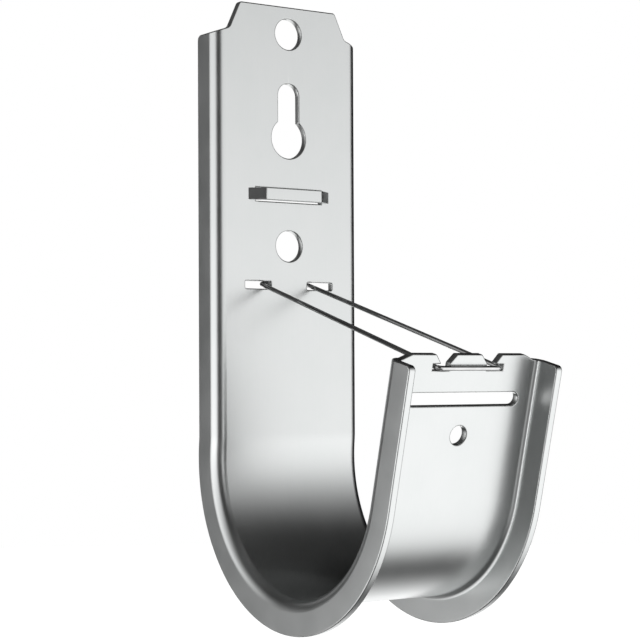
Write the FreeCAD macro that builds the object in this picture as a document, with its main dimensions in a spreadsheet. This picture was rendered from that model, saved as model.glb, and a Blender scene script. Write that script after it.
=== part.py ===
"""J hook cable support: a stamped and folded steel hook with a spring wire that closes it.

Millimetres and degrees. X runs across the hook, along the cables. Y runs towards the wall and Z
up. The origin is the centre of the upper screw hole, on the face that the screw's head meets.
The trough's side of the sheet is its inner face, and its flanges turn away from the cables.
"""
import FreeCAD, Part
import math
import os
import re

import Sketcher

# Driving dimensions: name, value and meaning
SIZES = (
    ("sheet_thickness", 1.5, "thickness of the steel sheet"),
    ("hook_width", 35.0, "overall width across the two flanges"),
    ("bend_radius", 1.0, "inner radius of the flange bends"),
    ("flange_depth", 6.9, "inner face of the sheet to the flange's free edge"),
    ("flange_corner", 1.0, "rounding of the flange's free corners"),
    ("trough_radius", 25.4, "inner radius of the round trough"),
    ("hole_to_trough", 86.1, "upper screw hole down to the trough's centre"),
    ("heel_set_back", 0.25, "how far the trough swells behind the back plate's face"),
    ("heel_radius", 20.0, "reverse bend between the back plate and the trough"),
    ("leg_tilt", 13.8, "lean of the front leg, outwards from upright"),
    ("leg_flange_rise", 26.3, "trough's end to the top of the leg's flanges"),
    ("leg_crest_rise", 27.2, "trough's end to the leg's top edge"),
    ("leg_crest_width", 25.7, "width of the leg's top edge"),
    ("crest_corner", 0.8, "rounding of the crest's outer corners"),
    ("tab_rise", 5.55, "upper screw hole to the top of the mounting tab"),
    ("tab_top_width", 23.2, "width of the mounting tab at its top"),
    ("tab_base_width", 28.2, "width of the mounting tab at its base"),
    ("tab_base_rise", 0.15, "upper screw hole to the tab's base corners"),
    ("tab_corner", 0.7, "rounding of the mounting tab's top corners"),
    ("tab_base_round", 1.2, "hollow rounding between the tab and its shoulders"),
    ("shoulder_drop", 1.05, "upper screw hole down to the top edges of the back flanges"),
    ("screw_hole", 6.6, "diameter of the two round screw holes"),
    ("lower_hole_drop", 43.3, "upper screw hole to the lower one"),
    ("keyhole_drop", 21.3, "upper screw hole to the keyhole's round part"),
    ("keyhole_round", 8.5, "diameter of the keyhole's round part"),
    ("keyhole_neck", 5.3, "width of the keyhole's narrow part"),
    ("keyhole_reach", 8.65, "round part's centre to the narrow part's top centre"),
    ("strap_drop", 33.0, "upper screw hole to the lanced strap's middle"),
    ("strap_length", 19.6, "length of the lanced strap"),
    ("strap_height", 2.2, "width of the lanced strap, measured upright"),
    ("strap_lift", 2.05, "how far the strap stands out of the sheet"),
    ("strap_run", 3.1, "length of each ramp of the strap"),
    ("strap_gap", 0.4, "width of the slits above and below the strap"),
    ("slit_length", 17.2, "length of those slits"),
    ("pivot_drop", 51.32, "upper screw hole to the pivot slots"),
    ("pivot_slot_inner", 4.3, "centre line to the inner end of a pivot slot"),
    ("pivot_slot_length", 6.5, "length of a pivot slot"),
    ("pivot_slot_corner", 0.3, "corner rounding of a pivot slot"),
    ("latch_rise", 24.87, "trough's end to the middle of the latch slots"),
    ("latch_slot_inner", 4.3, "centre line to the inner end of a latch slot"),
    ("latch_slot_length", 3.75, "length of a latch slot"),
    ("notch_floor_rise", 25.55, "trough's end to the foot of a notch's inner edge"),
    ("notch_top_inner", 2.85, "centre line to a notch's inner edge at the top"),
    ("notch_top_outer", 7.5, "centre line to a notch's outer edge at the top"),
    ("notch_floor_outer", 6.15, "centre line to a notch's outer edge at the latch slot"),
    ("tie_slot_rise", 18.95, "trough's end to the middle of the tie slot"),
    ("tie_slot_length", 25.5, "overall length of the tie slot"),
    ("tie_slot_height", 2.75, "height of the tie slot"),
    ("tag_hole_rise", 12.26, "trough's end to the small hole"),
    ("tag_hole", 3.95, "diameter of the small hole"),
    ("wire_diameter", 0.9, "thickness of the retainer wire"),
    ("wire_bend", 1.0, "centre line radius of the wire's bends"),
    ("wire_rear_half", 5.8, "centre line to a wire leg at the back plate"),
    ("wire_front_half", 7.2, "centre line to a wire leg at the crossbar"),
    ("wire_foot", 4.6, "length of each foot behind the back plate"),
    ("wire_play", 0.03, "clearance of the wire in its pivot slots"),
    ("latch_play", 0.1, "clearance of the wire in its latch slots"),
    ("swing_up", 19.5, "how far above level the wire can be swung"),
)

NAMES = [name for name, value, meaning in SIZES]

# Worked sizes, as formulas of the driving ones
OUTER_BEND = "(bend_radius + sheet_thickness)"
HALF_WIDTH = "(hook_width / 2)"
HALF_WEB = f"({HALF_WIDTH} - {OUTER_BEND})"
TROUGH_Y = "(heel_set_back - trough_radius)"
TROUGH_Z = "(-hole_to_trough)"
HEEL_ANGLE = "acos(1 - heel_set_back / (trough_radius + heel_radius))"
HEEL_START_Z = f"({TROUGH_Z} + (trough_radius + heel_radius) * sin({HEEL_ANGLE}))"
HEEL_END_Y = f"({TROUGH_Y} + trough_radius * cos({HEEL_ANGLE}))"
HEEL_END_Z = f"({TROUGH_Z} + trough_radius * sin({HEEL_ANGLE}))"
LEG_START_Y = f"({TROUGH_Y} - trough_radius * cos(leg_tilt))"
LEG_START_Z = f"({TROUGH_Z} - trough_radius * sin(leg_tilt))"
CUT_DEPTH = "(4 * sheet_thickness)"

# The wire runs from the middle of the pivot slots to the middle of the latch slots
PIVOT_Y = "(sheet_thickness / 2)"
PIVOT_Z = "(-pivot_drop)"
LATCH_Y = f"({LEG_START_Y} - sheet_thickness / 2 * cos(leg_tilt) - latch_rise * sin(leg_tilt))"
LATCH_Z = f"({LEG_START_Z} - sheet_thickness / 2 * sin(leg_tilt) + latch_rise * cos(leg_tilt))"
WIRE_SLOPE = f"atan(({PIVOT_Z} - {LATCH_Z}) / ({PIVOT_Y} - {LATCH_Y}))"
WIRE_SPAN = f"hypot({PIVOT_Y} - {LATCH_Y}; {PIVOT_Z} - {LATCH_Z})"
HALF_STACK = "((sheet_thickness + wire_diameter) / 2)"
WIRE_REACH = f"({WIRE_SPAN} + ({HALF_STACK} + latch_play) / cos({WIRE_SLOPE} - leg_tilt * 1deg))"
WIRE_SWING = f"max({WIRE_SLOPE}; swing_up * 1deg)"
WIRE_FOOT_Y = f"(({HALF_STACK} + wire_play) / cos({WIRE_SWING}))"
PIVOT_SLOT_HALF = (
    f"((wire_diameter / cos({WIRE_SWING}) + sheet_thickness * tan({WIRE_SWING})) / 2 + wire_play)"
)
LATCH_SLOT_HALF = "(wire_diameter / 2 + latch_play)"


def bound(text):
    """Return a formula with every driving size named as the spreadsheet's cell."""
    return re.sub(r"[a-z_]{4,}", lambda word: cell(word.group()), text)


def cell(word):
    return f"Sizes.{word}" if word in NAMES else word


def value(text):
    """Return what a formula comes to, as a plain number."""
    result = sheet.evalExpression(bound(text))
    return float(getattr(result, "Value", result))


def role_of(body, role):
    """Find one of the body's own origin planes."""
    return [item for item in body.Origin.OriginFeatures if item.Role == role][0]


def new_sketch(body, name, plane, lift="0", along="0", tilt="0"):
    """Attach a sketch to an origin plane, raised by lift, moved by along and tipped by tilt."""
    sketch = body.newObject("Sketcher::SketchObject", name)
    sketch.AttachmentSupport = [(role_of(body, plane), "")]
    sketch.MapMode = "FlatFace"
    turn = FreeCAD.Rotation(FreeCAD.Vector(1, 0, 0), value(tilt))
    sketch.AttachmentOffset = FreeCAD.Placement(FreeCAD.Vector(0, value(along), value(lift)), turn)
    if tilt != "0":
        sketch.setExpression("AttachmentOffset.Rotation.Angle", bound(tilt))
    if along != "0":
        sketch.setExpression("AttachmentOffset.Base.y", bound(along))
    if lift != "0":
        sketch.setExpression("AttachmentOffset.Base.z", bound(lift))
    return sketch


def leg_sketch(body, name, surface="0"):
    """Attach a sketch to the front leg: its x is X and its y climbs the leg from the trough."""
    out = f"({surface})"
    lift = f"(-{LEG_START_Y} + {out} * cos(leg_tilt))"
    along = f"({LEG_START_Z} - {out} * sin(leg_tilt))"
    return new_sketch(body, name, "XZ_Plane", lift, along, "leg_tilt")


def fix(sketch, kind, places, formula):
    """Add one constraint and bind it to a formula."""
    index = sketch.addConstraint(Sketcher.Constraint(kind, *places, value(formula)))
    sketch.setExpression(f"Constraints[{index}]", bound(formula))


def fix_point(sketch, piece, end, x, y):
    fix(sketch, "DistanceX", (-1, 1, piece, end), x)
    fix(sketch, "DistanceY", (-1, 1, piece, end), y)


def arc_between(start, stop, radius, turns_left):
    """Return the shorter arc between two points, bending to the left or the right of travel."""
    middle = (start + stop) / 2
    chord = stop - start
    rise = math.sqrt(max(radius ** 2 - (chord.Length / 2) ** 2, 0))
    side = FreeCAD.Vector(-chord.y, chord.x, 0).normalize()
    centre = middle + side * (rise if turns_left else -rise)
    first, last = (start, stop) if turns_left else (stop, start)
    first_angle = math.atan2(first.y - centre.y, first.x - centre.x)
    last_angle = math.atan2(last.y - centre.y, last.x - centre.x)
    circle = Part.Circle(centre, FreeCAD.Vector(0, 0, 1), radius)
    return Part.ArcOfCircle(circle, first_angle, last_angle)


def draw(sketch, steps, closed=True):
    """Draw lines and arcs through corners: (x, y) is a line's end, (x, y, radius, side) an arc's.

    Each corner is fixed by its two formulas, and each arc by its radius.
    """
    spots = [FreeCAD.Vector(value(step[0]), value(step[1]), 0) for step in steps]
    order = list(range(1, len(steps))) + ([0] if closed else [])
    first_piece = None
    last_piece = None
    for stop in order:
        step = steps[stop]
        ends = (spots[stop - 1], spots[stop])
        left = True
        if len(step) == 2:
            piece = sketch.addGeometry(Part.LineSegment(*ends), False)
        else:
            left = step[3] == "left"
            piece = sketch.addGeometry(arc_between(*ends, value(step[2]), left), False)
            fix(sketch, "Radius", (piece,), step[2])
        start_end, stop_end = (1, 2) if left else (2, 1)
        if last_piece is None:
            first_piece = (piece, start_end)
        else:
            sketch.addConstraint(Sketcher.Constraint("Coincident", *last_piece, piece, start_end))
        last_piece = (piece, stop_end)
        fix_point(sketch, piece, stop_end, step[0], step[1])
    if closed:
        sketch.addConstraint(Sketcher.Constraint("Coincident", *last_piece, *first_piece))
    else:
        fix_point(sketch, *first_piece, steps[0][0], steps[0][1])


def draw_circle(sketch, x, y, diameter):
    centre = FreeCAD.Vector(value(x), value(y), 0)
    round_piece = Part.Circle(centre, FreeCAD.Vector(0, 0, 1), value(diameter) / 2)
    piece = sketch.addGeometry(round_piece, False)
    fix_point(sketch, piece, 3, x, y)
    fix(sketch, "Diameter", (piece,), diameter)


def draw_round_slot(sketch, first, last, radius, upright):
    """Draw a slot with round ends between two centres, given as pairs of formulas."""
    turn = math.pi / 2 if upright else 0
    arcs = []
    for centre, start in ((first, math.pi / 2 + turn), (last, turn - math.pi / 2)):
        spot = FreeCAD.Vector(value(centre[0]), value(centre[1]), 0)
        circle = Part.Circle(spot, FreeCAD.Vector(0, 0, 1), value(radius))
        arcs.append(sketch.addGeometry(Part.ArcOfCircle(circle, start, start + math.pi), False))
        fix_point(sketch, arcs[-1], 3, *centre)
    fix(sketch, "Radius", (arcs[0],), radius)
    sketch.addConstraint(Sketcher.Constraint("Equal", *arcs))
    for leaving, reaching in (arcs, reversed(arcs)):
        start = sketch.getPoint(leaving, 2)
        stop = sketch.getPoint(reaching, 1)
        side = sketch.addGeometry(Part.LineSegment(start, stop), False)
        sketch.addConstraint(Sketcher.Constraint("Tangent", leaving, 2, side, 1))
        sketch.addConstraint(Sketcher.Constraint("Tangent", side, 2, reaching, 1))


def rounded_box(left, low, right, high, radius):
    """Return the steps of an upright rectangle with four round corners."""
    return [
        (f"{left} + {radius}", low),
        (f"{right} - {radius}", low),
        (right, f"{low} + {radius}", radius, "left"),
        (right, f"{high} - {radius}"),
        (f"{right} - {radius}", high, radius, "left"),
        (f"{left} + {radius}", high),
        (left, f"{high} - {radius}", radius, "left"),
        (left, f"{low} + {radius}"),
        (f"{left} + {radius}", low, radius, "left"),
    ]


def on_leg(out, rise):
    """Return Y and Z of a point by how far it lies outside the leg's inner face and up the leg."""
    y = value(f"{LEG_START_Y} - ({out}) * cos(leg_tilt) - ({rise}) * sin(leg_tilt)")
    z = value(f"{LEG_START_Z} - ({out}) * sin(leg_tilt) + ({rise}) * cos(leg_tilt)")
    return y, z


def on_both_sides(spot):
    return [FreeCAD.Vector(side * spot.x, spot.y, spot.z) for side in (1, -1)]


def sweep(body, name, profile, path):
    pipe = body.newObject("PartDesign::AdditivePipe", name)
    pipe.Profile = (profile, [""])
    pipe.Spine = (path, [f"Edge{n + 1}" for n in range(len(path.Shape.Edges))])
    return pipe


def grow(body, name, profile, length):
    """Pad a sketch along its normal, or against it when the length is negative."""
    pad = body.newObject("PartDesign::Pad", name)
    pad.Profile = profile
    pad.Reversed = value(length) < 0
    pad.setExpression("Length", bound(f"abs({length})"))
    return pad


def cut(body, name, profile, depth=CUT_DEPTH, through=False):
    """Cut a sketch out of the sheet on both sides of its plane."""
    pocket = body.newObject("PartDesign::Pocket", name)
    pocket.Profile = profile
    pocket.SideType = "Symmetric"
    if through:
        pocket.Type = "ThroughAll"
    else:
        pocket.setExpression("Length", bound(depth))
    return pocket


def round_edges(body, name, radius, spots):
    """Round the straight edges whose middles lie at the given points."""
    doc.recompute()
    base = body.Tip
    chosen = []
    for spot in spots:
        gaps = [
            (edge.CenterOfMass - spot).Length if edge.Curve.TypeId == "Part::GeomLine" else 1e9
            for edge in base.Shape.Edges
        ]
        chosen.append(f"Edge{gaps.index(min(gaps)) + 1}")
    fillet = body.newObject("PartDesign::Fillet", name)
    fillet.Base = (base, chosen)
    fillet.setExpression("Radius", bound(radius))
    return fillet


def channel(body):
    """Sweep the flanged section down the back plate, round the trough and up the front leg."""
    section = new_sketch(body, "ChannelSection", "XY_Plane", "tab_rise")
    steps = [
        (f"-{HALF_WIDTH}", "flange_depth"),
        (f"-{HALF_WIDTH}", OUTER_BEND),
        (f"-{HALF_WEB}", "0", OUTER_BEND, "left"),
        (HALF_WEB, "0"),
        (HALF_WIDTH, OUTER_BEND, OUTER_BEND, "left"),
        (HALF_WIDTH, "flange_depth"),
        (f"{HALF_WIDTH} - sheet_thickness", "flange_depth"),
        (f"{HALF_WIDTH} - sheet_thickness", OUTER_BEND),
        (HALF_WEB, "sheet_thickness", "bend_radius", "right"),
        (f"-{HALF_WEB}", "sheet_thickness"),
        (f"sheet_thickness - {HALF_WIDTH}", OUTER_BEND, "bend_radius", "right"),
        (f"sheet_thickness - {HALF_WIDTH}", "flange_depth"),
    ]
    draw(section, steps)

    path = new_sketch(body, "HookPath", "YZ_Plane")
    leg_end_y = f"({LEG_START_Y} - leg_flange_rise * sin(leg_tilt))"
    leg_end_z = f"({LEG_START_Z} + leg_flange_rise * cos(leg_tilt))"
    bottom_z = f"({TROUGH_Z} - trough_radius)"
    steps = [
        ("0", "tab_rise"),
        ("0", HEEL_START_Z),
        (HEEL_END_Y, HEEL_END_Z, "heel_radius", "left"),
        (TROUGH_Y, bottom_z, "trough_radius", "right"),
        (LEG_START_Y, LEG_START_Z, "trough_radius", "right"),
        (leg_end_y, leg_end_z),
    ]
    draw(path, steps, closed=False)
    doc.recompute()
    sweep(body, "Channel", section, path)


def mounting_tab(body):
    """Cut the tapered tab and the sloping shoulders beside it out of the strip's upper end."""
    outline = new_sketch(body, "TabAndShoulders", "XZ_Plane")
    side = f"({HALF_WIDTH} + 1)"
    right = [
        ("tab_top_width / 2", "tab_rise"),
        ("tab_base_width / 2", "tab_base_rise"),
        (HALF_WIDTH, "-shoulder_drop"),
        (side, "-shoulder_drop"),
        (side, "tab_rise + 1"),
        ("tab_top_width / 2", "tab_rise + 1"),
    ]
    draw(outline, right)
    draw(outline, [(f"-{x}", z) for x, z in reversed(right)])
    cut(body, "TrimTab", outline, through=True)


def tab_corners(body):
    """Round the mounting tab's corners and the hollows at its base."""
    for name, radius, x, z in (
        ("RoundTabCorners", "tab_corner", "tab_top_width / 2", "tab_rise"),
        ("RoundTabBase", "tab_base_round", "tab_base_width / 2", "tab_base_rise"),
    ):
        corner = FreeCAD.Vector(value(x), value(PIVOT_Y), value(z))
        round_edges(body, name, radius, on_both_sides(corner))


def flange_corners(body):
    """Round the free corners of the flanges at both ends of the strip."""
    middle = value(f"{HALF_WIDTH} - sheet_thickness / 2")
    back = FreeCAD.Vector(middle, value("flange_depth"), value("-shoulder_drop"))
    front = FreeCAD.Vector(middle, *on_leg("flange_depth", "leg_flange_rise"))
    spots = on_both_sides(back) + on_both_sides(front)
    round_edges(body, "RoundFlangeCorners", "flange_corner", spots)


def leg_crest(body):
    """Raise the crest between the flanges of the front leg."""
    outline = leg_sketch(body, "CrestOutline")
    right = [
        (HALF_WEB, f"leg_flange_rise - {OUTER_BEND}"),
        (HALF_WEB, "leg_flange_rise"),
        ("leg_crest_width / 2", "leg_crest_rise"),
    ]
    left = [(f"-{x}", rise) for x, rise in reversed(right)]
    draw(outline, right + left)
    grow(body, "LegCrest", outline, "sheet_thickness")
    y, z = on_leg("sheet_thickness / 2", "leg_crest_rise")
    corner = FreeCAD.Vector(value("leg_crest_width / 2"), y, z)
    round_edges(body, "RoundCrestCorners", "crest_corner", on_both_sides(corner))


def back_plate_holes(body):
    """Cut the screw holes, the keyhole and the two slots that the wire hangs in."""
    holes = new_sketch(body, "ScrewHoleCircles", "XZ_Plane")
    draw_circle(holes, "0", "0", "screw_hole")
    draw_circle(holes, "0", "-lower_hole_drop", "screw_hole")
    cut(body, "ScrewHoles", holes)

    keyhole = new_sketch(body, "KeyholeCircle", "XZ_Plane")
    draw_circle(keyhole, "0", "-keyhole_drop", "keyhole_round")
    cut(body, "KeyholeRound", keyhole)

    neck = new_sketch(body, "KeyholeNeck", "XZ_Plane")
    top = ("0", "keyhole_reach - keyhole_drop")
    draw_round_slot(neck, ("0", "-keyhole_drop"), top, "keyhole_neck / 2", upright=True)
    cut(body, "KeyholeSlot", neck)

    slots = new_sketch(body, "PivotSlotOutlines", "XZ_Plane")
    outer = "(pivot_slot_inner + pivot_slot_length)"
    low = f"({PIVOT_Z} - {PIVOT_SLOT_HALF})"
    high = f"({PIVOT_Z} + {PIVOT_SLOT_HALF})"
    draw(slots, rounded_box("pivot_slot_inner", low, outer, high, "pivot_slot_corner")[1:])
    draw(slots, rounded_box(f"-{outer}", low, "-pivot_slot_inner", high, "pivot_slot_corner")[1:])
    cut(body, "PivotSlots", slots)


def lanced_strap(body):
    """Open a window in the back plate and bridge it with the strap pushed out of it."""
    window = new_sketch(body, "StrapWindow", "XZ_Plane")
    low = "(-strap_drop - strap_height / 2)"
    slit_end = "(slit_length / 2)"
    reach = "(strap_height / 2 + strap_gap)"
    draw(window, [
        (f"-{slit_end}", f"-strap_drop - {reach}"),
        (slit_end, f"-strap_drop - {reach}"),
        (slit_end, f"-strap_drop + {reach}"),
        (f"-{slit_end}", f"-strap_drop + {reach}"),
    ])
    cut(body, "StrapWindowCut", window)

    strap = new_sketch(body, "StrapSection", "XY_Plane", low)
    end = "(strap_length / 2)"
    root = f"({end} + sheet_thickness / 4)"
    flat = f"({end} - strap_run)"
    front = [
        (f"-{root}", "0"),
        (f"-{end}", "0"),
        (f"-{flat}", "-strap_lift"),
        (flat, "-strap_lift"),
        (end, "0"),
        (root, "0"),
    ]
    back = [(x, f"sheet_thickness + {y}") for x, y in reversed(front)]
    draw(strap, front + back)
    grow(body, "LancedStrap", strap, "strap_height")


def latch(body):
    """Cut the entry notches and the slots under them that hold the closed wire."""
    outlines = leg_sketch(body, "LatchOutlines")
    outer = "(latch_slot_inner + latch_slot_length)"
    low = f"(latch_rise - {LATCH_SLOT_HALF})"
    high = f"(latch_rise + {LATCH_SLOT_HALF})"
    right = [
        ("latch_slot_inner", low),
        (outer, low),
        (outer, high),
        ("notch_floor_outer", high),
        ("notch_top_outer", "leg_crest_rise"),
        ("notch_top_outer", "leg_crest_rise + 1"),
        ("notch_top_inner", "leg_crest_rise + 1"),
        ("notch_top_inner", "leg_crest_rise"),
        ("latch_slot_inner", "notch_floor_rise"),
    ]
    draw(outlines, right)
    draw(outlines, [(f"-{x}", rise) for x, rise in reversed(right)])
    cut(body, "LatchCuts", outlines)


def front_leg_holes(body):
    """Cut the long tie slot and the small hole below it."""
    slot = leg_sketch(body, "TieSlotOutline")
    end = "((tie_slot_length - tie_slot_height) / 2)"
    left = (f"-{end}", "tie_slot_rise")
    right = (end, "tie_slot_rise")
    draw_round_slot(slot, left, right, "tie_slot_height / 2", upright=False)
    cut(body, "TieSlot", slot)

    small = leg_sketch(body, "TagHoleCircle")
    draw_circle(small, "0", "tag_hole_rise", "tag_hole")
    cut(body, "TagHole", small)


def hook_body():
    """Build the folded sheet."""
    body = doc.addObject("PartDesign::Body", "HookBody")
    body.Label = "hook_body"
    channel(body)
    mounting_tab(body)
    leg_crest(body)
    flange_corners(body)
    tab_corners(body)
    back_plate_holes(body)
    lanced_strap(body)
    latch(body)
    front_leg_holes(body)
    return body


def wire_retainer():
    """Build the wire in its own plane, then lay it between the pivot and latch slots.

    In its sketch x is X, and -y runs from the pivot to the crossbar.
    """
    body = doc.addObject("PartDesign::Body", "WireRetainer")
    body.Label = "wire_retainer"
    path = new_sketch(body, "WirePath", "XY_Plane")
    foot_end = "(wire_rear_half - wire_foot)"
    corners = [
        ("wire_rear_half", WIRE_FOOT_Y),
        ("wire_front_half", f"-{WIRE_REACH}"),
        ("-wire_front_half", f"-{WIRE_REACH}"),
        ("-wire_rear_half", WIRE_FOOT_Y),
    ]
    stops = [(foot_end, WIRE_FOOT_Y)] + corners + [(f"-{foot_end}", WIRE_FOOT_Y)]
    spots = [FreeCAD.Vector(value(x), value(y), 0) for x, y in stops]
    radius = value("wire_bend")
    runs = []
    marks = []
    for place, (start, stop) in enumerate(zip(spots, spots[1:])):
        along = (stop - start).normalize()
        trim_start = radius if place > 0 else 0
        trim_stop = radius if place < len(spots) - 2 else 0
        line = Part.LineSegment(start + along * trim_start, stop - along * trim_stop)
        runs.append(path.addGeometry(line, False))
    for place, (x, y) in enumerate(corners):
        corner = spots[place + 1]
        mark = path.addGeometry(Part.Point(corner), True)
        fix_point(path, mark, 1, x, y)
        for run in (runs[place], runs[place + 1]):
            path.addConstraint(Sketcher.Constraint("PointOnObject", mark, 1, run))
        marks.append(mark)
        arc = arc_between(path.getPoint(runs[place + 1], 1), path.getPoint(runs[place], 2), radius, True)
        bend = path.addGeometry(arc, False)
        path.addConstraint(Sketcher.Constraint("Tangent", runs[place], 2, bend, 2))
        path.addConstraint(Sketcher.Constraint("Tangent", bend, 1, runs[place + 1], 1))
        fix(path, "Radius", (bend,), "wire_bend")
    for run in (runs[0], runs[-1]):
        path.addConstraint(Sketcher.Constraint("Horizontal", run))
    fix(path, "DistanceX", (-1, 1, runs[0], 1), foot_end)
    fix(path, "DistanceX", (-1, 1, runs[-1], 2), f"-{foot_end}")
    doc.recompute()

    section = new_sketch(body, "WireSection", "YZ_Plane", foot_end)
    draw_circle(section, WIRE_FOOT_Y, "0", "wire_diameter")
    sweep(body, "Wire", section, path)

    lean = FreeCAD.Rotation(FreeCAD.Vector(1, 0, 0), value(WIRE_SLOPE))
    pivot = FreeCAD.Vector(0, value(PIVOT_Y), value(PIVOT_Z))
    body.Placement = FreeCAD.Placement(pivot, lean)
    body.setExpression("Placement.Rotation.Angle", bound(WIRE_SLOPE))
    body.setExpression("Placement.Base.y", bound(PIVOT_Y))
    body.setExpression("Placement.Base.z", bound(PIVOT_Z))
    return body


def check(parts):
    """Stop if any object failed or any sub-part is not one sound solid."""
    for item in doc.Objects:
        if {"Invalid", "Error"} & set(item.State):
            raise RuntimeError(f"{item.Label} failed: {item.State}")
    for part in parts:
        if part.Shape.isNull() or not part.Shape.isValid() or len(part.Shape.Solids) != 1:
            raise RuntimeError(f"{part.Label} is not one valid solid")


doc = FreeCAD.newDocument("JHook")
sheet = doc.addObject("Spreadsheet::Sheet", "Sizes")
for row, (name, number, meaning) in enumerate(SIZES, start=1):
    sheet.set(f"A{row}", meaning)
    sheet.set(f"B{row}", str(number))
    sheet.setAlias(f"B{row}", name)
doc.recompute()

parts = [hook_body(), wire_retainer()]
doc.recompute()
check(parts)

os.makedirs("parts", exist_ok=True)
for part in parts:
    part.Shape.exportStep(f"parts/{part.Label}.step")
    box = part.Shape.BoundBox
    print(part.Label, "volume", round(part.Shape.Volume, 1), "faces", len(part.Shape.Faces))
    print("  low", round(box.XMin, 2), round(box.YMin, 2), round(box.ZMin, 2))
    print("  high", round(box.XMax, 2), round(box.YMax, 2), round(box.ZMax, 2))
for name, formula in (("slope", WIRE_SLOPE), ("reach", WIRE_REACH), ("slot half", PIVOT_SLOT_HALF)):
    print(name, round(value(formula), 3))
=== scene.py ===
import math

import bmesh
import bpy
from mathutils import Matrix, Vector


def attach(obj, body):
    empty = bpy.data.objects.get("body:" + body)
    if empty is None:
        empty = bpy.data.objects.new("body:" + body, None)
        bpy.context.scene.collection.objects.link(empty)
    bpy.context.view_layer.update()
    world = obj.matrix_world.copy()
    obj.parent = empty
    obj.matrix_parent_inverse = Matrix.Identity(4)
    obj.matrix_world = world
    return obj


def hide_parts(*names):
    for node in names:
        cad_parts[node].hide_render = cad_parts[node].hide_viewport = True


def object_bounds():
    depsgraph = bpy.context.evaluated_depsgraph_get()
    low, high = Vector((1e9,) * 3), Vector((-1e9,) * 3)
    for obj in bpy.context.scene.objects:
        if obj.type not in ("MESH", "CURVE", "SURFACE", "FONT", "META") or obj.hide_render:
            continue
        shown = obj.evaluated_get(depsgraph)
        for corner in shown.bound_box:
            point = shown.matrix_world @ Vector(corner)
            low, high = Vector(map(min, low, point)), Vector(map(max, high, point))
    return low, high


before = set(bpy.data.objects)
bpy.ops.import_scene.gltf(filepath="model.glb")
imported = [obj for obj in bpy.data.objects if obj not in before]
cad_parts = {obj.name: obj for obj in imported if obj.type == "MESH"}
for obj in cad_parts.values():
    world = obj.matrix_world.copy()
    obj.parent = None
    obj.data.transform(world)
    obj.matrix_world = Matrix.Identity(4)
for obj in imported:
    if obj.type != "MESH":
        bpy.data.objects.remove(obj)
cad_low, cad_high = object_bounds()

MM = 0.001

# The folded sheet. X runs across the hook, Y towards the wall and Z up. The origin is the centre
# of the upper screw hole on the face that the screw's head meets.
HALF_WIDTH = 17.5 * MM
SHEET = 1.5 * MM
INNER_BEND = 1.0 * MM
OUTER_BEND = INNER_BEND + SHEET
FLANGE_DEPTH = 6.9 * MM
FLANGE_CORNER = 1.0 * MM
TROUGH_RADIUS = 25.4 * MM
HOLE_TO_TROUGH = 86.1 * MM
HEEL_SET_BACK = 0.25 * MM
HEEL_RADIUS = 20.0 * MM
LEG_TILT = math.radians(13.8)
LEG_FLANGE_RISE = 26.3 * MM
CREST_RISE = 27.2 * MM
CREST_HALF_WIDTH = 12.85 * MM
CREST_CORNER = 0.8 * MM
TAB_RISE = 5.55 * MM
TAB_TOP_HALF = 11.6 * MM
TAB_BASE_HALF = 14.1 * MM
TAB_BASE_RISE = 0.15 * MM
TAB_CORNER = 0.7 * MM
TAB_HOLLOW = 1.2 * MM
SHOULDER_DROP = 1.05 * MM

# The holes in the back plate, by their drop below the upper screw hole. Rounded rims let more
# light past than sharp ones, so each opening is cut a little under its size.
SCREW_HOLE = 3.15 * MM
LOWER_HOLE_DROP = 43.3 * MM
KEYHOLE_DROP = 21.3 * MM
KEYHOLE_ROUND = 4.1 * MM
KEYHOLE_NECK = 2.48 * MM
KEYHOLE_REACH = 8.72 * MM
PIVOT_DROP = 51.32 * MM
PIVOT_SLOT = (4.42 * MM, 10.58 * MM)
PIVOT_SLOT_HALF = 0.773 * MM
PIVOT_SLOT_CORNER = 0.3 * MM

# The lanced strap, whose feet are sunk in the sheet that it is joined to
STRAP_DROP = 33.0 * MM
STRAP_HALF = 9.8 * MM
STRAP_HALF_HEIGHT = 1.18 * MM
STRAP_LIFT = 2.05 * MM
STRAP_RUN = 3.1 * MM
STRAP_SUNK = 0.4 * MM
SLIT = 0.18 * MM
SLIT_HALF = 8.0 * MM

# The cuts in the front leg, by their rise above the trough's end
LATCH_RISE = 24.87 * MM
LATCH_SLOT = (4.3 * MM, 8.05 * MM)
LATCH_SLOT_HALF = 0.55 * MM
LATCH_SLOT_FLOOR = 24.24 * MM
NOTCH_FLOOR_RISE = 25.55 * MM
NOTCH_TOP = (2.85 * MM, 7.5 * MM)
NOTCH_FLOOR_OUTER = 6.15 * MM
TIE_SLOT_RISE = 18.95 * MM
TIE_SLOT_HALF = 12.62 * MM
TIE_SLOT_HALF_HEIGHT = 1.24 * MM
TAG_HOLE_RISE = 12.26 * MM
TAG_HOLE = 1.8 * MM

# The retainer wire
WIRE_RADIUS = 0.45 * MM
WIRE_BEND = 1.0 * MM
WIRE_REAR_HALF = 5.8 * MM
WIRE_FRONT_HALF = 7.2 * MM
WIRE_FOOT = 4.6 * MM
WIRE_FOOT_SET_BACK = 1.305 * MM
WIRE_REACH = 60.962 * MM
WIRE_SLOPE = math.radians(16.421)

# How far a cutter reaches past the sheet's face, and past its end
CUT_PAST = 1.0 * MM
CUT_OVER = 2.0 * MM

# How finely round forms are divided
BEND_STEPS = 10
TROUGH_STEPS = 96
HEEL_STEPS = 6
HOLE_STEPS = 48
CORNER_STEPS = 6
WIRE_STEPS = 24
WIRE_BEND_STEPS = 12
FLOOR_STEPS = 96
EDGE_STEPS = 4

# The roundings of the cut edges, the angle from which an edge gets one, and the angle from which
# an edge that is left shows as a crease
EDGE_ROUND = 0.26 * MM
STRAP_ROUND = 0.14 * MM
SHARP_ANGLE = math.radians(29)
CREASE_ANGLE = math.radians(32)

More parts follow.
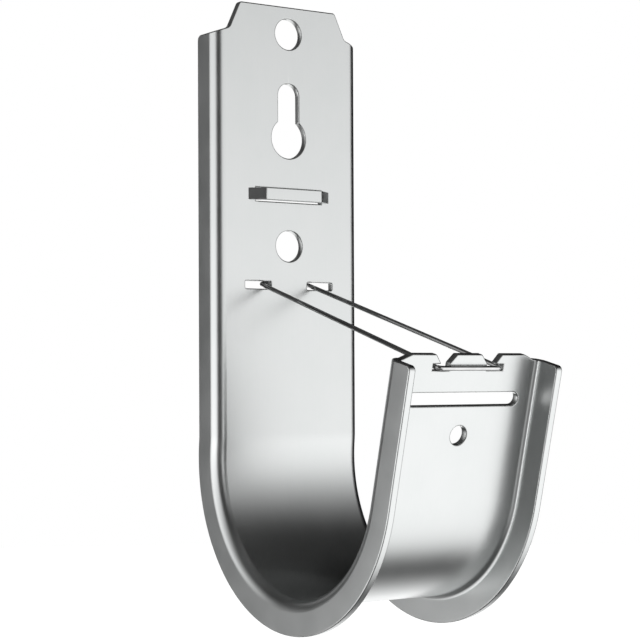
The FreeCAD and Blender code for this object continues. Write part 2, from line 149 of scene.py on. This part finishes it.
# Vertices nearer than these are one: in an outline, and in a cut solid
OUTLINE_MERGE = 1e-7
SOLID_MERGE = 1e-6

# The photograph's camera: a plain camera a little over a third of a metre away, level with the
# hook's front leg. Angles in degrees, lengths in metres, the image's measures in its pixels.
IMAGE_SIDE = 640
CAMERA_PLACE = Vector((-0.20854, -0.31116, -0.06998))
CAMERA_AZIMUTH = 34.44
CAMERA_RISE = 0.69
CAMERA_ROLL = -0.26
FOCAL_LENGTH = 1838.6
IMAGE_CENTRE = (309.3, 354.9)
SENSOR_WIDTH = 36.0
NEAREST_SEEN = 0.01
FURTHEST_SEEN = 20.0

# The studio: two tall softboxes at the camera's right and left, four lower ones round the hook
# and a small weak one behind it. Bearings run from the wall's side, +Y, towards +X. Angles in
# degrees, strengths in linear light.
SOFTBOXES = (
    # bearing, half width, soft edge, strength, top and foot (where it is full, where it ends)
    (155.5, 38.5, 10.0, 1.72, (-14.0, 53.5), (7.0, -33.0)),
    (279.0, 35.0, 9.0, 1.66, (-11.5, 62.0), (-14.5, -28.0)),
    (136.0, 25.5, 20.0, 1.49, (-32.0, 3.0), (-46.5, -84.0)),
    (194.5, 29.0, 23.5, 0.38, (-27.5, -16.0), (-38.5, -60.0)),
    (288.0, 37.0, 12.5, 1.21, (-28.0, 0.0), (-36.0, -66.0)),
    (29.5, 30.0, 17.5, 1.55, (-14.5, -13.0), (-25.0, -72.5)),
    (8.0, 14.0, 8.0, 0.5, (15.0, 40.0), (-5.0, -25.0)),
)

# The dim room: its light below and above the horizon, the heights that one goes over into the
# other between, and the light that is added overhead. Heights are the sines of angles.
ROOM_BELOW = 0.09
ROOM_ABOVE = 0.042
ROOM_TURN = (-0.5, 0.3)
ROOM_TOP = 0.07
ROOM_TOP_HEIGHTS = (0.7, 1.0)

# The black drape at the hook's far side: where it is full and where it ends, from its middle
# outwards and from its foot up. The last value stands in for a direction's level part straight
# up, which has no bearing.
DRAPE_BEARING = 80.0
DRAPE_HALF = (22.0, 50.0)
DRAPE_FOOT = (-0.35, -0.05)
LEAST_LEVEL = 1e-4

# The floor, which glows more with its distance from the hook until it meets the white backdrop
FLOOR_DROP = 0.35
FLOOR_RADIUS = 4.0
FLOOR_SHADE = (0.8, 0.8, 0.8, 1.0)
FLOOR_ROUGHNESS = 0.9
FLOOR_GLOW = (0.66, 1.0)
FLOOR_GLOW_RADII = (0.5, 1.3)

# The metals: how much of their drift is in patches and how much in drawn lines, how fine the two
# are, the range of the noise that is used, and the depth and weight of the lines' relief
PATCH_SHARE = 0.8
LINE_SHARE = 0.2
PATCH_DETAIL = 4.0
LINE_DETAIL = 2.0
NOISE_RANGE = (0.3, 0.7)
LINE_DEPTH = 0.02 * MM
LINE_RELIEF = 0.03

# Where a Mix node has its two colours among its inputs, and their mix among its outputs
MIX_COLOURS = (6, 7)
MIX_RESULT = 2

white = (1.0, 1.0, 1.0, 1.0)
trough_centre = Vector((0.0, HEEL_SET_BACK - TROUGH_RADIUS, -HOLE_TO_TROUGH))
leg_up = Vector((0.0, -math.sin(LEG_TILT), math.cos(LEG_TILT)))
leg_out = Vector((0.0, -math.cos(LEG_TILT), -math.sin(LEG_TILT)))
leg_start = trough_centre + leg_out * TROUGH_RADIUS

# Drawing planes: the back plate's and the leg's inner faces, with z into the sheet
back_plate = Matrix(((1, 0, 0, 0), (0, 0, 1, 0), (0, 1, 0, 0), (0, 0, 0, 1)))
front_leg = Matrix((Vector((1.0, 0.0, 0.0)), leg_up, leg_out)).transposed().to_4x4()
front_leg.translation = leg_start


def make_camera():
    """Stand the camera where the photograph was taken from."""
    azimuth = math.radians(CAMERA_AZIMUTH)
    rise = math.radians(CAMERA_RISE)
    roll = math.radians(CAMERA_ROLL)
    reach = math.cos(rise)
    ahead = Vector((math.sin(azimuth) * reach, math.cos(azimuth) * reach, math.sin(rise)))
    level = Vector((math.cos(azimuth), -math.sin(azimuth), 0.0))
    above = level.cross(ahead)
    right = level * math.cos(roll) + above * math.sin(roll)
    up = above * math.cos(roll) - level * math.sin(roll)
    data = bpy.data.cameras.new("photo_camera")
    data.sensor_width = SENSOR_WIDTH
    data.lens = FOCAL_LENGTH / IMAGE_SIDE * SENSOR_WIDTH
    data.shift_x = 0.5 - IMAGE_CENTRE[0] / IMAGE_SIDE
    data.shift_y = IMAGE_CENTRE[1] / IMAGE_SIDE - 0.5
    data.clip_start = NEAREST_SEEN
    data.clip_end = FURTHEST_SEEN
    camera = bpy.data.objects.new("photo_camera", data)
    axes = Matrix((right, up, -ahead)).transposed().to_4x4()
    camera.matrix_world = Matrix.Translation(CAMERA_PLACE) @ axes
    bpy.context.scene.collection.objects.link(camera)
    bpy.context.scene.camera = camera


def add(tree, kind, *values, **settings):
    """Add a node, give it its settings, and set or link its inputs in order."""
    node = tree.nodes.new(kind)
    for name, setting in settings.items():
        setattr(node, name, setting)
    for place, item in enumerate(values):
        if isinstance(item, bpy.types.NodeSocket):
            tree.links.new(item, node.inputs[place])
        elif item is not None:
            node.inputs[place].default_value = item
    return node


def math_node(tree, operation, *values):
    return add(tree, "ShaderNodeMath", *values, operation=operation).outputs[0]


def ramp(tree, value, low, high, start=0.0, stop=1.0):
    """Go smoothly from start to stop while the value goes from low to high."""
    node = add(tree, "ShaderNodeMapRange", value, low, high, start, stop,
               interpolation_type="SMOOTHSTEP")
    return node.outputs[0]


def faced(tree, way, level, bearing):
    """Tell how nearly a direction has this bearing: the cosine of the angle between them."""
    east, north = math.sin(math.radians(bearing)), math.cos(math.radians(bearing))
    along = math_node(tree, "ADD", math_node(tree, "MULTIPLY", way.outputs["X"], east),
                      math_node(tree, "MULTIPLY", way.outputs["Y"], north))
    return math_node(tree, "DIVIDE", along, level)


def light_studio():
    """Surround the hook with softboxes; the camera itself sees a plain white backdrop."""
    world = bpy.data.worlds.new("studio")
    world.use_nodes = True
    tree = world.node_tree
    tree.nodes.clear()
    way = add(tree, "ShaderNodeSeparateXYZ", add(tree, "ShaderNodeTexCoord").outputs["Generated"])
    x, y, z = way.outputs
    level = math_node(tree, "SQRT", math_node(tree, "ADD", math_node(tree, "MULTIPLY", x, x),
                                              math_node(tree, "MULTIPLY", y, y)))
    level = math_node(tree, "MAXIMUM", level, LEAST_LEVEL)
    overhead = ramp(tree, z, *ROOM_TOP_HEIGHTS, 0.0, ROOM_TOP)
    drape_full, drape_none = [math.cos(math.radians(half)) for half in DRAPE_HALF]
    across = ramp(tree, faced(tree, way, level, DRAPE_BEARING), drape_none, drape_full)
    drape = math_node(tree, "MULTIPLY", across, ramp(tree, z, *DRAPE_FOOT))
    room = ramp(tree, z, *ROOM_TURN, ROOM_BELOW, ROOM_ABOVE)
    total = math_node(tree, "MULTIPLY", room, math_node(tree, "SUBTRACT", 1.0, drape))
    total = math_node(tree, "ADD", total, overhead)
    for bearing, half_width, edge, strength, top, foot in SOFTBOXES:
        upper = ramp(tree, z, *[math.sin(math.radians(a)) for a in top], 1.0, 0.0)
        lower = ramp(tree, z, *[math.sin(math.radians(a)) for a in reversed(foot)], 0.0, 1.0)
        height = math_node(tree, "MULTIPLY", upper, lower)
        facing = faced(tree, way, level, bearing)
        dark, lit = [math.cos(math.radians(half_width + side * edge)) for side in (1, -1)]
        shine = math_node(tree, "MULTIPLY", ramp(tree, facing, dark, lit), height)
        total = math_node(tree, "MULTIPLY_ADD", shine, strength, total)
    seen = add(tree, "ShaderNodeBackground", white, 1.0)
    studio = add(tree, "ShaderNodeBackground", white, total)
    camera_ray = add(tree, "ShaderNodeLightPath").outputs["Is Camera Ray"]
    mixed = add(tree, "ShaderNodeMixShader", camera_ray, studio.outputs[0], seen.outputs[0])
    add(tree, "ShaderNodeOutputWorld", mixed.outputs[0])
    bpy.context.scene.world = world


def pattern(tree, scale, detail, stretch=(1.0, 1.0, 1.0), tilt=0.0):
    """Return cloudy noise fixed to the piece; a stretch under 1 draws it out along that axis."""
    place = add(tree, "ShaderNodeTexCoord").outputs["Object"]
    drawn = add(tree, "ShaderNodeMapping", place, None, (tilt, 0.0, 0.0), stretch)
    noise = add(tree, "ShaderNodeTexNoise", drawn.outputs[0])
    noise.inputs["Scale"].default_value = scale
    noise.inputs["Detail"].default_value = detail
    return noise.outputs[0]


def metal(name, shades, roughness, mottle, grain, grain_stretch, tilt=0.0):
    """Make a metal whose colour and gloss drift in patches and along fine drawn lines.

    Mottle and grain say how many patches and lines go in a metre.
    """
    material = bpy.data.materials.new(name)
    material.use_nodes = True
    tree = material.node_tree
    shader = tree.nodes["Principled BSDF"]
    shader.inputs["Metallic"].default_value = 1.0
    patches = pattern(tree, mottle, PATCH_DETAIL)
    lines = pattern(tree, grain, LINE_DETAIL, grain_stretch, tilt)
    drift = math_node(tree, "MULTIPLY_ADD", lines, LINE_SHARE,
                      math_node(tree, "MULTIPLY", patches, PATCH_SHARE))
    tone = add(tree, "ShaderNodeMix", data_type="RGBA")
    for place, colour in zip(MIX_COLOURS, shades):
        tone.inputs[place].default_value = colour
    tree.links.new(ramp(tree, drift, *NOISE_RANGE), tone.inputs[0])
    tree.links.new(tone.outputs[MIX_RESULT], shader.inputs["Base Color"])
    tree.links.new(ramp(tree, drift, *NOISE_RANGE, *roughness), shader.inputs["Roughness"])
    bump = add(tree, "ShaderNodeBump")
    bump.inputs["Strength"].default_value = LINE_RELIEF
    bump.inputs["Distance"].default_value = LINE_DEPTH
    tree.links.new(lines, bump.inputs["Height"])
    tree.links.new(bump.outputs[0], shader.inputs["Normal"])
    return material


def pale_floor():
    """Lay a plain pale floor under the hook; further out it meets the white backdrop."""
    bm = bmesh.new()
    level = Matrix.Translation((0.0, 0.0, cad_low[2] - FLOOR_DROP))
    bmesh.ops.create_circle(bm, cap_ends=True, segments=FLOOR_STEPS, radius=FLOOR_RADIUS,
                            matrix=level)
    material = bpy.data.materials.new("pale_floor")
    material.use_nodes = True
    tree = material.node_tree
    shader = tree.nodes["Principled BSDF"]
    shader.inputs["Base Color"].default_value = FLOOR_SHADE
    shader.inputs["Roughness"].default_value = FLOOR_ROUGHNESS
    shader.inputs["Emission Color"].default_value = white
    place = add(tree, "ShaderNodeTexCoord").outputs["Object"]
    away = add(tree, "ShaderNodeVectorMath", place, operation="LENGTH").outputs["Value"]
    glow = ramp(tree, away, *FLOOR_GLOW_RADII, *FLOOR_GLOW)
    tree.links.new(glow, shader.inputs["Emission Strength"])
    floor = new_object("floor", bm, material)
    floor.visible_glossy = False
    floor.visible_diffuse = False


def verts_of(made):
    return [item for item in made["geom"] if isinstance(item, bmesh.types.BMVert)]


def faces_of(made):
    return [item for item in made["geom"] if isinstance(item, bmesh.types.BMFace)]


def round_corners(bm, corners, radius, steps):
    """Round corners of a flat outline, before it is extruded."""
    bmesh.ops.bevel(bm, geom=corners, offset=radius, offset_type="OFFSET", affect="VERTICES",
                    segments=steps, profile=0.5, material=-1, clamp_overlap=False)
    bmesh.ops.remove_doubles(bm, verts=bm.verts, dist=OUTLINE_MERGE)


def prism(bm, outline, low, high, place, radius=0.0):
    """Add a closed slab: an outline drawn on a plane, from low to high along that plane's z."""
    piece = bmesh.new()
    corners = [piece.verts.new((x, y, low)) for x, y in outline]
    piece.faces.new(corners)
    if radius:
        round_corners(piece, corners, radius, CORNER_STEPS)
    raised = bmesh.ops.extrude_face_region(piece, geom=piece.faces[:])
    bmesh.ops.translate(piece, verts=verts_of(raised), vec=(0.0, 0.0, high - low))
    bmesh.ops.transform(piece, matrix=place, verts=piece.verts)
    add_mesh(bm, piece)


def rod(bm, x, y, radius, low, high, place):
    """Add a closed round bar that stands on a plane at (x, y)."""
    piece = bmesh.new()
    middle = Matrix.Translation((x, y, (low + high) / 2))
    bmesh.ops.create_cone(piece, cap_ends=True, segments=HOLE_STEPS, radius1=radius,
                          radius2=radius, depth=high - low, matrix=place @ middle)
    add_mesh(bm, piece)


def add_mesh(bm, piece):
    """Put one closed piece, with its faces outwards, into a larger mesh."""
    bmesh.ops.recalc_face_normals(piece, faces=piece.faces)
    mesh = bpy.data.meshes.new("piece")
    piece.to_mesh(mesh)
    piece.free()
    bm.from_mesh(mesh)
    bpy.data.meshes.remove(mesh)


def both_sides(outline):
    """Return an outline and its mirror image across the hook's middle."""
    return outline, [(-x, y) for x, y in reversed(outline)]


def new_object(name, bm, *materials):
    mesh = bpy.data.meshes.new(name)
    bm.to_mesh(mesh)
    bm.free()
    for material in materials:
        mesh.materials.append(material)
    thing = bpy.data.objects.new(name, mesh)
    bpy.context.scene.collection.objects.link(thing)
    return thing


def carve(thing, tool, operation):
    """Cut a tool out of a solid, or join it on."""
    step = thing.modifiers.new("carve", "BOOLEAN")
    step.operation = operation
    step.solver = "EXACT"
    step.object = tool
    keep_shape(thing)
    bpy.data.objects.remove(tool)


def keep_shape(thing):
    """Make what a piece's modifiers give its own mesh."""
    bpy.context.view_layer.update()
    shaped = thing.evaluated_get(bpy.context.evaluated_depsgraph_get())
    mesh = bpy.data.meshes.new_from_object(shaped)
    thing.modifiers.clear()
    for place, material in enumerate(thing.data.materials):
        if place < len(mesh.materials):
            mesh.materials[place] = material
        else:
            mesh.materials.append(material)
    thing.data = mesh


def channel_strip():
    """Sweep the flanged section down the back plate, round the trough and up the front leg."""
    bm = bmesh.new()
    web = HALF_WIDTH - SHEET
    section = (
        (-HALF_WIDTH, FLANGE_DEPTH), (-HALF_WIDTH, 0.0),
        (HALF_WIDTH, 0.0), (HALF_WIDTH, FLANGE_DEPTH),
        (web, FLANGE_DEPTH), (web, SHEET),
        (-web, SHEET), (-web, FLANGE_DEPTH),
    )
    corners = [bm.verts.new((x, y, TAB_RISE)) for x, y in section]
    bm.faces.new(corners)
    outer, inner = corners[1:3], corners[5:7]
    for bends, radius in ((outer, OUTER_BEND), (inner, INNER_BEND)):
        round_corners(bm, bends, radius, BEND_STEPS)

    heel_turn = math.acos(1.0 - HEEL_SET_BACK / (TROUGH_RADIUS + HEEL_RADIUS))
    heel_rise = (TROUGH_RADIUS + HEEL_RADIUS) * math.sin(heel_turn)
    heel_centre = Vector((0.0, HEEL_RADIUS, trough_centre.z + heel_rise))
    trough_turn = math.pi - LEG_TILT + heel_turn
    end = extrude(bm, bm.faces[:], Vector((0.0, 0.0, heel_centre.z - TAB_RISE)))
    end = turn(bm, end, heel_centre, heel_turn, HEEL_STEPS)
    end = turn(bm, end, trough_centre, -trough_turn, TROUGH_STEPS)
    extrude(bm, end, leg_up * CREST_RISE)
    bmesh.ops.recalc_face_normals(bm, faces=bm.faces)
    return bm


def with_edges(faces):
    """Return the faces and their edges, so that an extrusion leaves no wall behind it."""
    return faces + list({edge for face in faces for edge in face.edges})


def extrude(bm, faces, move):
    """Pull the end faces along and return the new end."""
    pulled = bmesh.ops.extrude_face_region(bm, geom=with_edges(faces))
    bmesh.ops.translate(bm, verts=verts_of(pulled), vec=move)
    return faces_of(pulled)


def turn(bm, faces, centre, angle, steps, axis=(1.0, 0.0, 0.0)):
    """Spin the end faces about an axis through the centre and return the new end."""
    spun = bmesh.ops.spin(bm, geom=with_edges(faces), cent=centre, axis=axis, dvec=(0.0, 0.0, 0.0),
                          angle=angle, steps=steps, use_merge=False)
    return [item for item in spun["geom_last"] if isinstance(item, bmesh.types.BMFace)]


def hook_cuts():
    """Gather every cut that doesn't meet another: the ends' trims, the holes and the slots."""
    bm = bmesh.new()
    through = (-CUT_PAST, SHEET + CUT_PAST)
    beyond = (-CUT_PAST, FLANGE_DEPTH + CUT_PAST)
    side = HALF_WIDTH + CUT_PAST
    over_tab = TAB_RISE + CUT_OVER
    over_crest = CREST_RISE + CUT_OVER
    tab = [
        (TAB_TOP_HALF, TAB_RISE), (TAB_BASE_HALF, TAB_BASE_RISE), (HALF_WIDTH, -SHOULDER_DROP),
        (side, -SHOULDER_DROP), (side, over_tab), (TAB_TOP_HALF, over_tab),
    ]
    crest = [
        (CREST_HALF_WIDTH, CREST_RISE), (HALF_WIDTH - OUTER_BEND, LEG_FLANGE_RISE),
        (side, LEG_FLANGE_RISE), (side, over_crest), (CREST_HALF_WIDTH, over_crest),
    ]
    for outline in both_sides(tab):
        prism(bm, outline, *beyond, back_plate)
    for outline in both_sides(crest):
        prism(bm, outline, *beyond, front_leg)

    for drop in (0.0, LOWER_HOLE_DROP):
        rod(bm, 0.0, -drop, SCREW_HOLE, *through, back_plate)
    rod(bm, 0.0, -KEYHOLE_DROP, KEYHOLE_ROUND, *through, back_plate)
    reach = STRAP_HALF_HEIGHT + SLIT
    prism(bm, box_outline(-SLIT_HALF, -STRAP_DROP - reach, SLIT_HALF, -STRAP_DROP + reach),
          *through, back_plate)
    slot = box_outline(PIVOT_SLOT[0], -PIVOT_DROP - PIVOT_SLOT_HALF,
                       PIVOT_SLOT[1], -PIVOT_DROP + PIVOT_SLOT_HALF)
    for outline in both_sides(slot):
        prism(bm, outline, *through, back_plate, radius=PIVOT_SLOT_CORNER)

    latch_top = LATCH_RISE + LATCH_SLOT_HALF
    latch = [
        (LATCH_SLOT[0], LATCH_SLOT_FLOOR), (LATCH_SLOT[1], LATCH_SLOT_FLOOR),
        (LATCH_SLOT[1], latch_top), (NOTCH_FLOOR_OUTER, latch_top),
        (NOTCH_TOP[1], CREST_RISE), (NOTCH_TOP[1], over_crest),
        (NOTCH_TOP[0], over_crest), (NOTCH_TOP[0], CREST_RISE),
        (LATCH_SLOT[0], NOTCH_FLOOR_RISE),
    ]
    for outline in both_sides(latch):
        prism(bm, outline, *through, front_leg)
    tie_slot = box_outline(-TIE_SLOT_HALF, TIE_SLOT_RISE - TIE_SLOT_HALF_HEIGHT,
                           TIE_SLOT_HALF, TIE_SLOT_RISE + TIE_SLOT_HALF_HEIGHT)
    prism(bm, tie_slot, *through, front_leg, radius=TIE_SLOT_HALF_HEIGHT)
    rod(bm, 0.0, TAG_HOLE_RISE, TAG_HOLE, *through, front_leg)
    return bm


def box_outline(left, low, right, high):
    return [(left, low), (right, low), (right, high), (left, high)]


def keyhole_neck():
    """Return the narrow upper part of the keyhole."""
    bm = bmesh.new()
    low = -KEYHOLE_DROP
    high = low + KEYHOLE_REACH + KEYHOLE_NECK
    outline = [
        (KEYHOLE_NECK, low), (KEYHOLE_NECK, high),
        (-KEYHOLE_NECK, high), (-KEYHOLE_NECK, low),
    ]
    corners = [bm.verts.new((x, y, -CUT_PAST)) for x, y in outline]
    bm.faces.new(corners)
    round_corners(bm, corners[1:3], KEYHOLE_NECK, HOLE_STEPS // 4)
    raised = bmesh.ops.extrude_face_region(bm, geom=bm.faces[:])
    bmesh.ops.translate(bm, verts=verts_of(raised), vec=(0.0, 0.0, SHEET + 2 * CUT_PAST))
    bmesh.ops.transform(bm, matrix=back_plate, verts=bm.verts)
    bmesh.ops.recalc_face_normals(bm, faces=bm.faces)
    return bm


def strap():
    """Return the strap that is pushed out of the back plate, with its feet sunk in the sheet."""
    bm = bmesh.new()
    flat = STRAP_HALF - STRAP_RUN
    fall = STRAP_LIFT / STRAP_RUN * STRAP_SUNK
    foot = STRAP_HALF + STRAP_SUNK
    front = [(-foot, fall), (-flat, -STRAP_LIFT), (flat, -STRAP_LIFT), (foot, fall)]
    back = [(STRAP_HALF - STRAP_SUNK, SHEET - fall), (flat, SHEET - STRAP_LIFT)]
    outline = front + back + [(-x, y) for x, y in reversed(back)]
    upright = Matrix.Translation((0.0, 0.0, -STRAP_DROP))
    prism(bm, outline, -STRAP_HALF_HEIGHT, STRAP_HALF_HEIGHT, upright)
    return bm


def round_edges(bm, spots, radius):
    """Round the edges across the sheet whose middles lie nearest to the given spots."""
    chosen = [min(bm.edges, key=lambda e: ((e.verts[0].co + e.verts[1].co) / 2 - spot).length)
              for spot in spots]
    reach = radius * math.tan(chosen[0].calc_face_angle() / 2)
    bmesh.ops.bevel(bm, geom=chosen, offset=reach, offset_type="OFFSET", affect="EDGES",
                    segments=CORNER_STEPS, profile=0.5, material=-1, clamp_overlap=False)


def round_free_corners(bm):
    """Round the tab, the shoulders' hollows, the crest and the flanges' free corners."""
    middle = SHEET / 2
    flange = HALF_WIDTH - middle
    for x, y, plane, out, radius in (
        (TAB_TOP_HALF, TAB_RISE, back_plate, middle, TAB_CORNER),
        (TAB_BASE_HALF, TAB_BASE_RISE, back_plate, middle, TAB_HOLLOW),
        (CREST_HALF_WIDTH, CREST_RISE, front_leg, middle, CREST_CORNER),
        (flange, -SHOULDER_DROP, back_plate, FLANGE_DEPTH, FLANGE_CORNER),
        (flange, LEG_FLANGE_RISE, front_leg, FLANGE_DEPTH, FLANGE_CORNER),
    ):
        spots = [plane @ Vector((side * x, y, out)) for side in (1, -1)]
        round_edges(bm, spots, radius)


def soften_edges(thing, radius):
    """Take the sharpness off the cut edges, as the press and the zinc leave them."""
    rounding = thing.modifiers.new("edges", "BEVEL")
    rounding.width = radius
    rounding.segments = EDGE_STEPS
    rounding.limit_method = "ANGLE"
    rounding.angle_limit = SHARP_ANGLE
    rounding.use_clamp_overlap = False
    rounding.loop_slide = False
    # The rounded faces take the last material, whose darker colour is partly painted shade along
    # the edges.
    rounding.material = len(thing.data.materials) - 1
    keep_shape(thing)


def shade(thing):
    """Shade a finished piece smoothly, but keep its flat faces flat."""
    for face in thing.data.polygons:
        face.use_smooth = True
    thing.data.set_sharp_from_angle(angle=CREASE_ANGLE)
    thing.modifiers.new("shading", "WEIGHTED_NORMAL").keep_sharp = True


def make_hook(*materials):
    """Build the folded sheet, cut and round it, then join the strap.

    The last of the materials goes on the cut walls and the rounded edges.
    """
    thing = new_object("folded_hook", channel_strip(), *materials)
    for name, shape in (("cuts", hook_cuts()), ("neck", keyhole_neck())):
        for face in shape.faces:
            # The cut walls take the last material, whose darker colour is partly painted shade
            # along the edges.
            face.material_index = len(materials) - 1
        carve(thing, new_object(name, shape, *materials), "DIFFERENCE")
    bm = bmesh.new()
    bm.from_mesh(thing.data)
    bmesh.ops.remove_doubles(bm, verts=bm.verts, dist=SOLID_MERGE)
    round_free_corners(bm)
    bm.to_mesh(thing.data)
    bm.free()
    soften_edges(thing, EDGE_ROUND)
    lance = new_object("strap", strap(), *materials)
    soften_edges(lance, STRAP_ROUND)
    carve(thing, lance, "UNION")
    shade(thing)
    return thing


def make_wire(*materials):
    """Bend the retainer wire in its own plane, then lay it from the pivot to the latch."""
    bm = bmesh.new()
    foot_end = WIRE_REAR_HALF - WIRE_FOOT
    stops = [Vector(stop).to_3d() for stop in (
        (foot_end, WIRE_FOOT_SET_BACK), (WIRE_REAR_HALF, WIRE_FOOT_SET_BACK),
        (WIRE_FRONT_HALF, -WIRE_REACH), (-WIRE_FRONT_HALF, -WIRE_REACH),
        (-WIRE_REAR_HALF, WIRE_FOOT_SET_BACK), (-foot_end, WIRE_FOOT_SET_BACK),
    )]
    facing = Matrix.Translation(stops[0]) @ Matrix.Rotation(math.pi / 2, 4, "Y")
    bmesh.ops.create_circle(bm, cap_ends=True, segments=WIRE_STEPS, radius=WIRE_RADIUS,
                            matrix=facing)
    end = bm.faces[:]
    trimmed = 0.0
    for start, corner, after in zip(stops, stops[1:], stops[2:] + [None]):
        along = (corner - start).normalized()
        if after is None:
            extrude(bm, end, along * ((corner - start).length - trimmed))
            break
        leaving = (after - corner).normalized()
        bend = along.angle(leaving)
        reach = WIRE_BEND * math.tan(bend / 2)
        end = extrude(bm, end, along * ((corner - start).length - trimmed - reach))
        side = Vector((along.y, -along.x, 0.0))
        centre = corner - along * reach + side * WIRE_BEND
        end = turn(bm, end, centre, -bend, WIRE_BEND_STEPS, axis=(0.0, 0.0, 1.0))
        trimmed = reach
    bmesh.ops.recalc_face_normals(bm, faces=bm.faces)
    pivot = Matrix.Translation((0.0, SHEET / 2, -PIVOT_DROP))
    bmesh.ops.transform(bm, matrix=pivot @ Matrix.Rotation(WIRE_SLOPE, 4, "X"), verts=bm.verts)
    thing = new_object("wire_bail", bm, *materials)
    shade(thing)
    return thing


make_camera()
light_studio()
pale_floor()
bpy.context.scene.view_settings.view_transform = "Standard"

# The sheet is zinc all over. Its cut walls and rounded edges take a darker metal: partly the bare
# steel of the cut, and partly painted shade that lays a dark line along every edge. Its drawn
# lines run down the strip, those of the wire along its legs.
zinc = ((0.59, 0.605, 0.602, 1.0), (0.62, 0.632, 0.63, 1.0))
bare_steel_and_edge_shade = ((0.46, 0.47, 0.467, 1.0), (0.55, 0.56, 0.557, 1.0))
along_strip = (1.0, 0.03, 0.03)
sheet = metal("galvanised_sheet", zinc, roughness=(0.285, 0.315), mottle=120.0, grain=2600.0,
              grain_stretch=along_strip)
edge = metal("cut_edge_and_painted_shade", bare_steel_and_edge_shade, roughness=(0.25, 0.31), mottle=300.0, grain=2600.0,
             grain_stretch=along_strip)
hook = make_hook(sheet, edge)
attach(hook, "hook")
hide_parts("hook_body")

steel = ((0.52, 0.52, 0.52, 1.0), (0.66, 0.66, 0.66, 1.0))
along_legs = (1.0, 0.02, 1.0)
drawn = metal("spring_wire", steel, roughness=(0.05, 0.09), mottle=400.0, grain=9000.0,
              grain_stretch=along_legs, tilt=-WIRE_SLOPE)
wire = make_wire(drawn)
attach(wire, "retainer")
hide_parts("wire_retainer")
